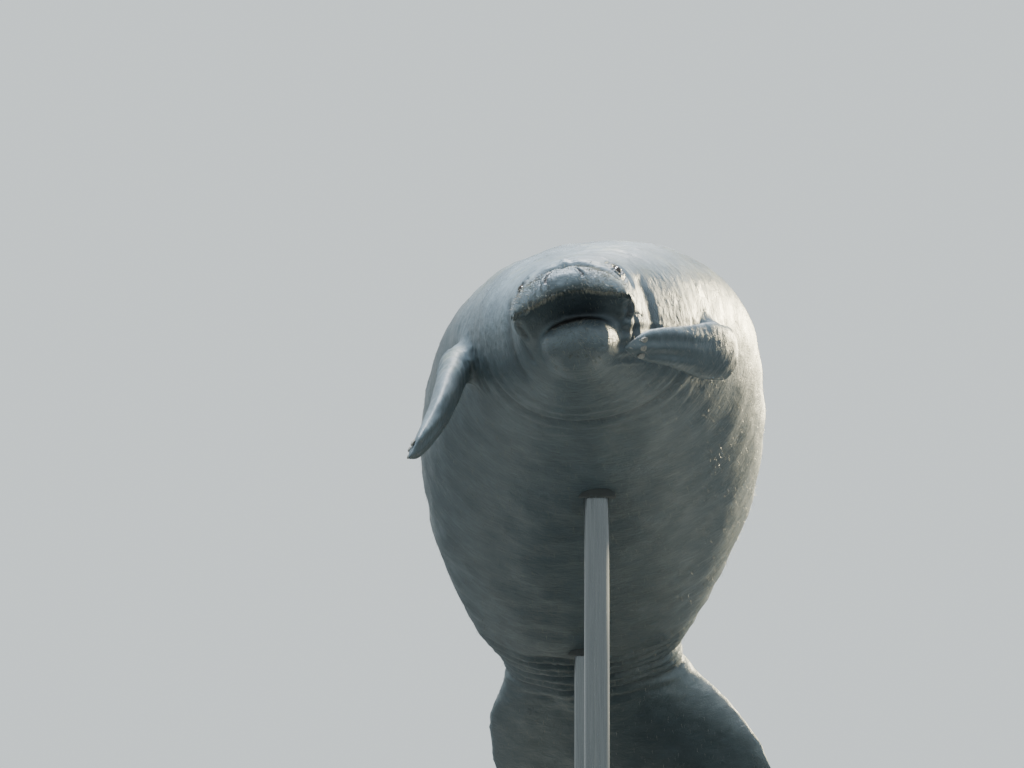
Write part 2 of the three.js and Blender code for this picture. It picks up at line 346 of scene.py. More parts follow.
# A centripetal spline through a flipper's points, evened out along its length.
def flipperLine(flipper, count=400):
    points = [Vector(p) for p in flipper["line"]]
    points = [2 * points[0] - points[1]] + points + [2 * points[-1] - points[-2]]
    places = []
    for p0, p1, p2, p3 in zip(points, points[1:], points[2:], points[3:]):
        steps = [max((b - a).length ** 0.5, 1e-6) for a, b in ((p0, p1), (p1, p2), (p2, p3))]
        start = ((p1 - p0) / steps[0] - (p2 - p0) / (steps[0] + steps[1]) + (p2 - p1) / steps[1]) * steps[1]
        end = ((p2 - p1) / steps[1] - (p3 - p1) / (steps[1] + steps[2]) + (p3 - p2) / steps[2]) * steps[1]
        for t in np.linspace(0, 1, count // 5, endpoint=False):
            places.append(p1 * (2 * t ** 3 - 3 * t ** 2 + 1) + start * (t ** 3 - 2 * t ** 2 + t)
                          + p2 * (3 * t ** 2 - 2 * t ** 3) + end * (t ** 3 - t ** 2))
    places = np.array(places + [points[-2]])
    run = np.r_[0, np.cumsum(np.linalg.norm(np.diff(places, axis=0), axis=1))]
    even = np.linspace(0, 1, count)
    places = np.stack([np.interp(even, run / run[-1], places[:, k]) for k in range(3)], 1)
    along = unit(np.gradient(places, axis=0))
    ahead = np.array(flipper["leading"], float)
    across = unit(ahead - along * (along @ ahead)[:, None])
    flat = np.cross(across, along)
    flat *= np.sign(flat @ np.array(flipper["outer"], float))[:, None]
    return even, places, along, across, flat


def flipperRings(flipper, around=64):
    even, places, along, across, flat = flipperLine(flipper)
    u = np.r_[np.linspace(0, 0.86, 60), 0.86 + 0.14 * np.sin(np.linspace(0.03, 0.499, 26) * np.pi)]
    pick = np.round(u * (len(even) - 1)).astype(int)
    broad, thick = [through(bodyPlan["flipperSections"], column)(u) for column in (1, 2)]
    left = np.clip((1 - u) / 0.16, 0, 1)
    tip = np.sqrt(np.maximum(1 - (1 - left) ** 2, 0.0004))
    x, y = sectionRing(around, broad * tip, thick * np.sqrt(tip), thick * np.sqrt(tip), np.full(len(u), 1.9))
    rings = places[pick][:, None] + across[pick][:, None] * x[..., None] + flat[pick][:, None] * y[..., None]
    inwards = np.cross(along[10], across[10]) @ flat[10] > 0
    return rings if inwards else rings[:, ::-1]


skinPlan = {
    "voxel": 5.2,  # first even mesh, millimetres
    "thinned": 112000,  # triangles after the trunk is thinned
    "faceEnds": 236, "lidReach": 44,
}

flipperLines = {side: flipperLine(flipper) for side, flipper in bodyPlan["flippers"].items()}
bodyStops = np.r_[0, 0.8, 2, 4, 7, 11, 16, 22, 29, np.arange(37, 340, 7), np.arange(346, 2200, 16),
                  np.arange(2204, 2880, 12), 2880 + 119.7 * np.sin(np.linspace(0.02, 0.5, 24) * np.pi)]
shapes = [loft(bodyRings(bodyStops, 200)), loft(jawRings(96))]
shapes += [loft(flipperRings(flipper)) for flipper in bodyPlan["flippers"].values()]
corners, faces = [], []
for shapeCorners, shapeFaces in shapes:
    first = sum(len(c) for c in corners)
    corners.append(shapeCorners * mm)
    faces += [[first + k for k in face] for face in shapeFaces]
skin = addPiece("skin", meshOf("skin", np.vstack(corners), faces))
remesh = skin.modifiers.new("even", "REMESH")
remesh.mode = "VOXEL"
remesh.voxel_size = skinPlan["voxel"] * mm * 1
remesh.adaptivity = 0
bakeModifiers(skin)
report(f"flesh joined, {len(skin.data.vertices)} corners")


# Shares of each flipper: how far down its length a corner is, and how near its middle line
def flipperShare(places, side):
    even, line, along, across, flat = flipperLines[side]
    points = places / mm
    low, high = line.min(0) - 130, line.max(0) + 130
    inside = np.nonzero(((points > low) & (points < high)).all(1))[0]
    share, near = np.zeros(len(points)), np.full(len(points), 1e3)
    if len(inside):
        gaps = np.linalg.norm(points[inside][:, None] - line[None, ::4], axis=2)
        best = gaps.argmin(1)
        share[inside], near[inside] = even[::4][best], gaps[np.arange(len(inside)), best]
    return share, near


places = placesOf(skin.data)
joins = np.zeros(len(places))
for side in bodyPlan["flippers"]:
    share, near = flipperShare(places, side)
    shoulder = (1 - smoothstep(0.26, 0.42, share)) * (1 - smoothstep(95, 150, near))
    joins = np.maximum(joins, shoulder * (near < 900))
s, x, y = bodyPlace(places)
mouth = smoothstep(120, 190, s) * (1 - smoothstep(270, 330, s)) * (y < 0)
joins = np.maximum(joins, mouth)
places = relaxed(skin.data, places, 0.5, 5)
places = relaxed(skin.data, places, 0.55 * joins, 42)
setPlaces(skin.data, places)
report("joins softened")

# Thin the trunk and keep the head, then refine the face and the lids.
keep = skin.vertex_groups.new(name="keep")
fineness = 0.3 + 0.7 * (1 - smoothstep(250, 620, s)) ** 0.7
flipperNear = np.min([flipperShare(places, side)[1] for side in bodyPlan["flippers"]], 0)
fineness = np.maximum(fineness, 0.75 * (1 - smoothstep(90, 130, flipperNear)))
fineness = np.maximum(fineness, 0.6 * smoothstep(1990, 2060, s) * (1 - smoothstep(2330, 2420, s)))
for level in range(0, 11):
    chosen = np.nonzero(np.round(fineness * 10) == level)[0]
    if len(chosen):
        keep.add(chosen.tolist(), level / 10, "REPLACE")
thin = skin.modifiers.new("thin", "DECIMATE")
thin.ratio = min(1.0, skinPlan["thinned"] / (2 * len(skin.data.polygons)))
thin.vertex_group = "keep"
thin.invert_vertex_group = True
thin.vertex_group_factor = 1.0
bakeModifiers(skin)
skin.vertex_groups.clear()


def refine(piece, wanted):
    shape = bmesh.new()
    shape.from_mesh(piece.data)
    bmesh.ops.triangulate(shape, faces=[f for f in shape.faces if len(f.verts) > 3])
    shape.verts.ensure_lookup_table()
    edges = [e for e in shape.edges if wanted[e.verts[0].index] and wanted[e.verts[1].index]]
    bmesh.ops.subdivide_edges(shape, edges=edges, cuts=1)
    bmesh.ops.triangulate(shape, faces=[f for f in shape.faces if len(f.verts) > 3])
    shape.to_mesh(piece.data)
    shape.free()


eyeSides = {"left": 1, "right": -1}
eyePlaces = {side: bodyPoint(bodyPlan["eyeAt"], sign * bodyPlan["eyeAside"], bodyPlan["eyeUp"]) * mm
             for side, sign in eyeSides.items()}


def eyeGap(places):
    return np.min([np.linalg.norm(places - eye, axis=1) for eye in eyePlaces.values()], 0)


places = placesOf(skin.data)
s, x, y = bodyPlace(places)
trunkOnly = smoothstep(500, 700, s) * (1 - smoothstep(2500, 2700, s))
setPlaces(skin.data, relaxed(skin.data, places, 0.4 * trunkOnly, 3))
insideMouth = (s > 22) & (np.abs(x) < 104) & (y < 34)
refine(skin, (s < skinPlan["faceEnds"]) & (y > -46) & ~insideMouth)
places = placesOf(skin.data)
s, x, y = bodyPlace(places)
face = 1 - smoothstep(skinPlan["faceEnds"] - 20, skinPlan["faceEnds"] + 10, s)
setPlaces(skin.data, relaxed(skin.data, places, 0.5 * face, 4))
places = placesOf(skin.data)
refine(skin, eyeGap(places) / mm < skinPlan["lidReach"])
skin.data.shade_smooth()
report(f"skin mesh, {len(skin.data.polygons)} faces")


# Sculpting. Places on the head and body are (along, to the side, up) in millimetres.

sculpt = {
    "mirrored": {  # grooves on both sides: points, width, depth
        "muzzle fold": ([(114, 0, 105), (113, 30, 100), (108, 62, 84), (100, 88, 60),
                         (88, 108, 34), (74, 120, 12)], 5.5, 15),
        "second fold": ([(144, 0, 126), (142, 38, 118), (136, 74, 100), (126, 104, 66),
                         (116, 122, 34)], 6, 4.2),
        "third fold": ([(170, 0, 130), (168, 36, 126), (162, 62, 116), (156, 80, 104)], 7, 2.4),
        "brow fold": ([(216, 60, 122), (224, 88, 110), (228, 112, 84), (224, 126, 58),
                       (212, 132, 34)], 7, 3.2),
        "under eye fold": ([(170, 92, 98), (168, 110, 80), (172, 122, 56), (180, 128, 32)], 5, 3.0),
        "muzzle ridge": ([(134, 0, 117), (132, 34, 112), (126, 72, 98), (116, 102, 70),
                          (104, 122, 42)], 9, -5),
        "lip pad fold": ([(16, 34, 76), (24, 60, 76), (40, 84, 68), (62, 104, 50)], 7, 3.2),
        "mouth corner": ([(96, 130, 24), (112, 130, 4), (136, 126, -18), (160, 118, -40)], 8, 8),
        "cheek fold": ([(176, 132, 30), (186, 134, -12), (198, 126, -54), (208, 106, -90)], 13, 5),
        "jowl fold": ([(262, 150, 84), (266, 160, 40), (274, 162, -10), (286, 150, -70),
                       (292, 120, -118)], 22, 5),
        "nostril": ([(30, 22, 86), (20, 30, 80), (14, 38, 70), (13, 41, 61)], 3.2, 8),
    },
    "middle": {
        "nose groove": ([(96, 0, 100), (66, 0, 97), (42, 0, 90), (26, 0, 80)], 6, 3.4),
    },
    "mounds": [  # place, radius, height
        ((66, 21, 98), 17, 6), ((20, 78, 42), 36, 7), ((148, 120, -4), 40, 8), ((122, 98, 76), 22, 3),
        ((46, 0, -40), 34, 4), ((196, 104, 86), 34, 3), ((128, 40, 118), 26, 3),
    ],
    "rings": [  # along, lowest and highest angle each side of straight down, width, depth
        (352, 0, 70, 16, 3), (398, 0, 90, 16, 3), (446, 0, 84, 18, 8), (506, 0, 60, 18, 3),
        (330, 128, 180, 10, 2), (372, 118, 180, 11, 2.4), (430, 130, 180, 12, 2),
        (2034, 0, 96, 13, 5), (2084, 0, 118, 12, 8), (2128, 0, 104, 11, 5), (2166, 0, 124, 12, 10),
        (2206, 0, 96, 10, 5), (2244, 0, 110, 11, 8), (2286, 0, 80, 10, 4),
    ],
    "lid": {"opening": (11.5, 8.6), "sink": 13, "rim": 2.8, "rimAt": 18, "trench": 2.4, "hollow": 5,
            "pleats": 12, "pleatHeight": 0.6},
}

places = placesOf(skin.data)
s, x, y = bodyPlace(places)
normals = normalsOf(skin.data)
depth = np.zeros(len(places))  # millimetres outwards
recessShade = np.zeros(len(places))  # how far a corner lies in a fold or round an eye, for painted shade there
dark = np.zeros(len(places))  # painted shade in the nostrils and inside the mouth
bvh = BVHTree.FromObject(skin, bpy.context.evaluated_depsgraph_get())


def onSkin(points, spacing=2.0):
    points = np.asarray(points, float)
    rows = np.column_stack([np.arange(len(points)), points])
    length = np.linalg.norm(np.diff(points, axis=0), axis=1).sum()
    t = np.linspace(0, len(points) - 1, max(int(length / spacing), 2))
    a, b, c = [through(rows, column)(t) for column in (1, 2, 3)]
    return np.array([list(bvh.find_nearest(Vector(p))[0]) for p in bodyPoint(a, b, c) * mm])


def nearLine(line, reach):
    low, high = line.min(0) - reach * mm, line.max(0) + reach * mm
    inside = np.nonzero(((places > low) & (places < high)).all(1))[0]
    gaps = np.full(len(inside), 1e3)
    share = np.zeros(len(inside))
    for start in range(0, len(inside), 8000):
        part = inside[start:start + 8000]
        apart = ((places[part][:, None] - line[None]) ** 2).sum(-1)
        best = apart.argmin(1)
        gaps[start:start + 8000] = np.sqrt(apart[np.arange(len(part)), best]) / mm
        share[start:start + 8000] = best / (len(line) - 1)
    return inside, gaps, share


def carve(line, width, deep, openStart=False, shade=1.0):
    inside, gaps, share = nearLine(line, width * 3)
    ends = smoothstep(0, 0.16, 1 - share) * (1 if openStart else smoothstep(0, 0.16, share))
    cut = np.exp(-(gaps / width) ** 2) * ends
    lips = np.exp(-((gaps - 1.9 * width) / width) ** 2) * ends
    depth[inside] += 0.22 * deep * lips - deep * cut
    # Painted shade: the floor of each groove is also darkened in colour.
    recessShade[inside] = np.maximum(recessShade[inside], np.minimum(deep / 8, 1) * cut * shade)
    return inside, cut


for name, (points, width, deep) in sculpt["mirrored"].items():
    for sign in (1, -1):
        line = onSkin([(a, sign * b, c) for a, b, c in points])
        inside, cut = carve(line, width, deep, openStart=points[0][1] == 0)
        if name == "nostril":
            # painted shade in the nostril slits
            dark[inside] = np.maximum(dark[inside], cut)
for points, width, deep in sculpt["middle"].values():
    carve(onSkin(points), width, deep)

for (a, b, c), radius, height in sculpt["mounds"]:
    for sign in (1, -1) if b else (1,):
        middle = np.array(bvh.find_nearest(Vector(bodyPoint(a, sign * b, c) * mm))[0])
        gap = np.linalg.norm(places - middle, axis=1) / mm
        depth += height * np.exp(-(gap / radius) ** 2)

# The nose pad lies lower than the skin behind the muzzle fold.
padShare = (1 - smoothstep(100, 118, s)) * smoothstep(20, 70, y) * smoothstep(10, 90, s)
depth -= 13 * padShare

# Folds round the neck and the root of the tail, each a little uneven
rng = np.random.default_rng(11)
ringStep = 4 * mm
for along, low, high, width, deep in sculpt["rings"]:
    wave = rng.uniform(-1, 1, 6)
    angle = np.radians(np.linspace(-high, high, 60) - 90)
    shift = 7 * sum(wave[k] * np.sin((k + 1) * (angle + wave[k])) / (k + 1) for k in range(3))
    keepPart = np.abs(np.degrees(angle) + 90) >= low
    out = 1.1 * np.maximum(halfWidth(along), drop(along))
    halves = (keepPart & (angle <= -np.pi / 2), keepPart & (angle > -np.pi / 2)) if low else (keepPart,)
    for part in halves:
        if part.sum() > 3:
            at = along + shift[part]
            starts = bodyPoint(at, out * np.cos(angle[part]), out * np.sin(angle[part])) * mm
            line = []
            for start, end in zip(starts, bodyPoint(at, 0, 0) * mm):
                hit = bvh.ray_cast(Vector(start), Vector(end - start).normalized())[0]
                line.append(list(hit if hit else start))
            line = np.array(line)
            run = np.r_[0, np.cumsum(np.linalg.norm(np.diff(line, axis=0), axis=1))]
            even = np.linspace(0, run[-1], max(int(run[-1] / ringStep), 4))
            line = np.stack([np.interp(even, run, line[:, k]) for k in range(3)], 1)
            carve(line, width, deep, shade=0.55)


# Soft swells of a given size, the same on every run
def swell(points, size, seed):
    waves = np.random.default_rng(seed)
    value = np.zeros(len(points))
    for _ in range(9):
        direction = unit(waves.normal(size=3)) * (2 * np.pi / (size * waves.uniform(0.7, 1.5)))
        crossing = points @ direction[[1, 2, 0]]
        value += np.sin(points @ direction + waves.uniform(0, 6.3) + 0.8 * np.sin(crossing))
    return value / 9 ** 0.5


straight = np.column_stack([s, x, y])
trunkShare = smoothstep(280, 600, s)
depth += trunkShare * (2.2 * swell(straight, 170, 3) + 0.9 * swell(straight * [1.9, 0.7, 0.7], 60, 4))
depth += (0.35 + 0.3 * trunkShare) * swell(straight * [1.6, 0.8, 0.8], 24, 5)
bellyFolds = np.sin(s / 27 + 1.3 * swell(straight, 300, 6)) * smoothstep(20, -160, y) * smoothstep(600, 800, s)
depth += 1.3 * bellyFolds * (1 - smoothstep(1950, 2100, s))
flukeShare = smoothstep(2330, 2480, s)
depth += flukeShare * 1.6 * np.sin(x / 21 + 0.8 * swell(straight, 200, 7)) * smoothstep(2420, 2700, s)

# Flippers: knuckles at the elbow and faint finger ridges towards the tip
for side in bodyPlan["flippers"]:
    even, line, along, across, flat = flipperLines[side]
    share, near = flipperShare(places, side)
    own = (near < 95) & (share > 0.1)
    pick = np.round(share * (len(even) - 1)).astype(int)
    away = places / mm - line[pick]
    aside = (away * across[pick]).sum(1)
    towardsTip = smoothstep(0.5, 0.8, share) * (1 - smoothstep(0.93, 1, share))
    atElbow = smoothstep(0.12, 0.2, share) * (1 - smoothstep(0.36, 0.5, share))
    depth += own * 1.5 * np.cos(aside / 5.2) * towardsTip
    depth += own * 1.8 * np.sin(share * 95 + 0.04 * aside) * atElbow

places = places + normals * (depth * mm)[:, None]
setPlaces(skin.data, places)

# Eyelids: the skin rises to a rim round each eyeball, pleated like a drawn-up purse
lid = sculpt["lid"]
eyeAhead, eyeSideways, eyeUpwards = [v[0] for v in spineDirections(np.array([bodyPlan["eyeAt"]]))]
for side, eye in eyePlaces.items():
    outward = unit(0.78 * eyeSides[side] * eyeSideways + 0.62 * eyeUpwards)
    level = unit(np.cross(outward, np.cross(eyeAhead, outward)))
    steep = np.cross(outward, level)
    away = (places - eye) / mm
    height, across, over = away @ outward, away @ level, away @ steep
    near = (np.abs(height) < 30) & (across ** 2 + over ** 2 < 60 ** 2)
    wide, tall = lid["opening"]
    ring = np.sqrt((across / wide) ** 2 + (over / tall) ** 2)
    fromEye = np.sqrt(across ** 2 + over ** 2)
    angle = np.arctan2(over, across)
    pleat = np.cos(angle * lid["pleats"] + 1.5 * np.sin(angle * 2)) * np.exp(-((fromEye - 21) / 9) ** 2)
    change = lid["rim"] * np.exp(-((fromEye - lid["rimAt"]) / 5) ** 2) + lid["pleatHeight"] * pleat
    change -= lid["trench"] * np.exp(-((fromEye - 27) / 4) ** 2) * (1 - 0.4 * np.cos(angle * 2))
    change -= lid["hollow"] * np.exp(-(fromEye / 30) ** 2)
    change -= (lid["sink"] + lid["rim"]) * (1 - smoothstep(0.85, 1.45, ring))
    places = places + outward * (change * near * mm)[:, None]
    # Painted shade: the lid and the opening round each eyeball are darkened.
    recessShade = np.maximum(recessShade, near * (0.9 * np.exp(-((fromEye - 19) / 10) ** 2) + (ring < 1.5)))
setPlaces(skin.data, places)

# Painted shade inside the mouth: corners that see other skin close by, whichever way they look, are darkened
mouthSight = {"ways": 14, "reach": 170 * mm, "lift": 4 * mm}
nearMouth = np.nonzero((s < 250) & (np.abs(x) < 128) & (y < 66) & (y > -70))[0]
bvh = BVHTree.FromObject(skin, bpy.context.evaluated_depsgraph_get())
looks = unit(np.random.default_rng(5).normal(size=(mouthSight["ways"], 3)))
hidden = np.zeros(len(places))
for corner, normal in zip(nearMouth, normalsOf(skin.data)[nearMouth]):
    start = Vector(places[corner] + normal * mouthSight["lift"])
    ways = [Vector(unit(way + normal * 1.02)) for way in looks]
    seen = [bvh.ray_cast(start, way, mouthSight["reach"])[0] is not None for way in ways]
    hidden[corner] = sum(seen) / len(ways)
hidden = relaxed(skin.data, np.repeat(hidden[:, None], 3, 1), 0.7, 8)[:, 0]
dark = np.maximum(dark, smoothstep(0.42, 0.86, hidden))


# Where hairs grow: stiff bristles on the lip pads and chin, fine scattered hairs elsewhere
def nearTo(a, b, c, radius):
    return np.exp(-(np.linalg.norm(places - bodyPoint(a, b, c) * mm, axis=1) / (radius * mm)) ** 2)


bristly = np.max([nearTo(12, sign * 74, 50, 40) for sign in (1, -1)] + [0.5 * nearTo(48, 0, -50, 44)], 0)
bristly += 0.05 * (1 - smoothstep(90, 150, s))
clear = (1 - smoothstep(0.15, 0.4, dark)) * (eyeGap(places) > 30 * mm)
along, sideways, upwards = spineDirections(s)
lieBack = along * 0.8 - upwards * 0.5
lieDown = -upwards * 0.7 - along * 0.5 + sideways * (0.5 * np.sign(x))[:, None]
front = 1 - smoothstep(80, 160, s)
lie = lieBack * (1 - front)[:, None] + lieDown * front[:, None]
inwards = np.maximum(0, 130 - np.hypot(x, y)) * (1 - smoothstep(30, 70, s))
fields = {"recessShade": recessShade, "dark": dark, "bristly": bristly * clear, "hairy": clear * (1 - front),
          "unwrapAlong": 0.06 + 0.0003 * s - 0.0004 * inwards,
          "bodyPlace": straight * mm, "lie": unit(lie)}
for field, values in fields.items():
    kind, key = ("FLOAT", "value") if values.ndim == 1 else ("FLOAT_VECTOR", "vector")
    skin.data.attributes.new(field, kind, "POINT").data.foreach_set(key, values.astype(np.float32).ravel())
report("folds, lids and flippers sculpted")


# Materials: sizes of patterns and depths of bumps are in metres

def newMaterial(name):
    material = bpy.data.materials.new(name)
    material.use_nodes = True
    tree = material.node_tree
    return material, tree, tree.nodes["Principled BSDF"]


def mixed(tree, factor, first, second):
    factorIn, firstIn, secondIn, colourOut = 0, 6, 7, 2
    node = addNode(tree, "ShaderNodeMix", {"data_type": "RGBA"},
                   {factorIn: factor, firstIn: first, secondIn: second})
    return node.outputs[colourOut]


def remapped(tree, value, low, high, toLow=0.0, toHigh=1.0):
    limits = {"From Min": low, "From Max": high, "To Min": toLow, "To Max": toHigh}
    node = addNode(tree, "ShaderNodeMapRange", {"interpolation_type": "SMOOTHSTEP"}, {"Value": value, **limits})
    return node.outputs["Result"]


def noise(tree, place, size, stretch=(1, 1, 1), detail=4.0, roughness=0.55, distortion=0.0):
    mapping = addNode(tree, "ShaderNodeMapping", None, {"Vector": place, "Scale": stretch})
    look = {"Scale": 1 / size, "Detail": detail, "Roughness": roughness, "Distortion": distortion}
    texture = addNode(tree, "ShaderNodeTexNoise", None, {"Vector": mapping.outputs["Vector"], **look})
    return texture.outputs["Fac"]


def objectPlace(tree):
    return addNode(tree, "ShaderNodeTexCoord").outputs["Object"]


def patternedMaterial(name, look):
    material, tree, shader = newMaterial(name)
    place = objectPlace(tree)
    pattern = noise(tree, place, *look["pattern"])
    colour = mixed(tree, remapped(tree, pattern, *look["span"]), srgb(look["dark"]), srgb(look["light"]))
    tree.links.new(colour, shader.inputs["Base Color"])
    tree.links.new(remapped(tree, pattern, 0.3, 0.7, *look["roughness"]), shader.inputs["Roughness"])
    shader.inputs["Metallic"].default_value = look.get("metallic", 0.0)
    if "bump" in look:
        height = noise(tree, place, *look["relief"]) if "relief" in look else pattern
        strength, distance = look["bump"]
        bump = addNode(tree, "ShaderNodeBump", None,
                       {"Height": height, "Strength": strength, "Distance": distance})
        tree.links.new(bump.outputs["Normal"], shader.inputs["Normal"])
    return material


# Thick, nearly hairless hide, grown in a fine pebbled grain and worn satin: it looks grey and softly mottled,
# with an olive film on the back.
# Painted shade darkens the folds, the wrinkle troughs, the eye pits, the nostrils, the inside of the mouth and
# the underside.
# The grain is drawn coarser than life, to show.
hide = {
    # The underside, fold and inside colours are painted shade.
    "base": "#59656c", "light": "#707c83", "deep": "#475259", "painted_underside_shade": "#232e34", "painted_recess_shade": "#1f262b",
    "inside": "#241b1c", "film": "#74785f", "roughness": 0.48,
    "blotches": 0.22, "patches": 0.05, "specks": 0.007,
    "wrinkleSpacing": 0.014, "crossSpacing": 0.034, "filmSpacing": 0.09, "pebble": 0.006, "grain": 0.0016,
}


def hideMaterial():
    material, tree, shader = newMaterial("manatee hide")
    place = addNode(tree, "ShaderNodeAttribute", {"attribute_name": "bodyPlace"}).outputs["Vector"]
    recessShadeIn = addNode(tree, "ShaderNodeAttribute", {"attribute_name": "recessShade"}).outputs["Fac"]
    nostrilAndMouthShadeIn = addNode(tree, "ShaderNodeAttribute", {"attribute_name": "dark"}).outputs["Fac"]
    blotches = noise(tree, place, hide["blotches"], (1, 1.3, 1.3), 5)
    patches = noise(tree, place, hide["patches"], (1, 0.8, 0.8), 6, 0.6)
    specks = noise(tree, place, hide["specks"], (1, 1, 1), 3)
    wrinkles = noise(tree, place, hide["wrinkleSpacing"], (1.0, 0.42, 0.42), 5, 0.58, 0.7)
    crossWrinkles = noise(tree, place, hide["crossSpacing"], (0.6, 1, 1), 4, 0.55, 0.6)
    grain = noise(tree, place, hide["grain"], (1, 1, 1), 2)
    film = noise(tree, place, hide["filmSpacing"], (1, 1, 1), 6, 0.65)
    stretched = addNode(tree, "ShaderNodeMapping", None, {"Vector": place, "Scale": (1.25, 0.8, 0.8)})
    pebbles = addNode(tree, "ShaderNodeTexVoronoi", {"feature": "DISTANCE_TO_EDGE"},
                      {"Vector": stretched.outputs["Vector"], "Scale": 1 / hide["pebble"], "Randomness": 0.95})
    normal = addNode(tree, "ShaderNodeNewGeometry").outputs["Normal"]
    facing = addNode(tree, "ShaderNodeSeparateXYZ", None, {"Vector": normal}).outputs["Z"]
    onBack = addNode(tree, "ShaderNodeMath", {"operation": "MULTIPLY"},
                     {0: remapped(tree, facing, 0.1, 0.9), 1: remapped(tree, film, 0.48, 0.7, 0, 0.35)})

    layers = [
        (remapped(tree, patches, 0.44, 0.74, 0, 0.45), "light"),
        (remapped(tree, specks, 0.5, 0.74, 0, 0.22), "deep"),
        # painted shade in the troughs of the bumped wrinkles
        (remapped(tree, wrinkles, 0.46, 0.26, 0, 0.25), "deep"),
        (onBack.outputs[0], "film"),
        # painted shade: surfaces facing down are darkened
        (remapped(tree, facing, 0.1, -0.6, 0, 0.85), "painted_underside_shade"),
        # painted shade in the folds and round the eyes
        (remapped(tree, recessShadeIn, 0.05, 1.0, 0, 0.85), "painted_recess_shade"),
        # painted shade in the nostrils and inside the mouth, partly over the mouth's own dark reddish lining
        (nostrilAndMouthShadeIn, "inside"),
    ]
    colour = mixed(tree, remapped(tree, blotches, 0.36, 0.66), srgb(hide["deep"]), srgb(hide["base"]))
    for share, name in layers:
        colour = mixed(tree, share, colour, srgb(hide[name]))
    tree.links.new(colour, shader.inputs["Base Color"])
    gloss = remapped(tree, patches, 0.3, 0.7, hide["roughness"] - 0.06, hide["roughness"] + 0.1)
    tree.links.new(gloss, shader.inputs["Roughness"])

    heights = [(wrinkles, 1.0, 0.0030), (crossWrinkles, 0.5, 0.0020),
               (remapped(tree, pebbles.outputs["Distance"], 0, 0.22), 0.3, 0.0006), (grain, 0.3, 0.0004)]
    below = {}
    for height, strength, distance in heights:
        bump = addNode(tree, "ShaderNodeBump", None,
                       {"Height": height, "Strength": strength, "Distance": distance, **below})
        below = {"Normal": bump.outputs["Normal"]}
    tree.links.new(below["Normal"], shader.inputs["Normal"])
    return material


skin.data.materials.clear()
skin.data.materials.append(hideMaterial())
for name in ("head", "lower_jaw", "neck", "trunk", "tail_stock", "tail_fluke", "flipper_left", "flipper_right"):
    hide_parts(name)
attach(skin, "root")
report("skin finished")


def newNodes(name, kinds):
    tree = bpy.data.node_groups.new(name, "GeometryNodeTree")
    tree.interface.new_socket(name="Geometry", in_out="OUTPUT", socket_type="NodeSocketGeometry")
    sockets = {}
    for label, kind in kinds.items():
        socket = tree.interface.new_socket(name=label, in_out="INPUT", socket_type=f"NodeSocket{kind}")
        sockets[label] = socket.identifier
    return tree, sockets, addNode(tree, "NodeGroupInput").outputs


def growOn(piece, group, sockets, values):
    nodes = piece.modifiers.new("grow", "NODES")
    nodes.node_group = group
    for label, value in values.items():
        nodes[sockets[label]] = value
    bakeModifiers(piece)


# Hairs: each is a thin bent cone at its own root, grown by nodes and then made plain mesh
hairPlan = {
    "lip_bristles": {"Field": "bristly", "Most": 105000.0, "Length": 0.0115, "Thick": 0.00058,
                     "Stand": 0.62, "Seed": 3},
    "body_hairs": {"Field": "hairy", "Most": 1100.0, "Length": 0.015, "Thick": 0.0003,
                   "Stand": 0.34, "Seed": 8},
}
hairShape = {"tip": 0.00005, "bend": 14.0, "sway": 0.16, "shortest": 0.45, "unwrapWidth": 0.003}

# Horny bristle, grown and left as it is: grey, mottled lighter and darker, and satin, so a patch of it catches
# the light
hairLook = patternedMaterial("horny bristle", {
    "dark": "#4c4c48", "light": "#949184", "span": (0.35, 0.65), "pattern": (0.01, (1, 1, 1), 2),
    "roughness": (0.45, 0.45)})


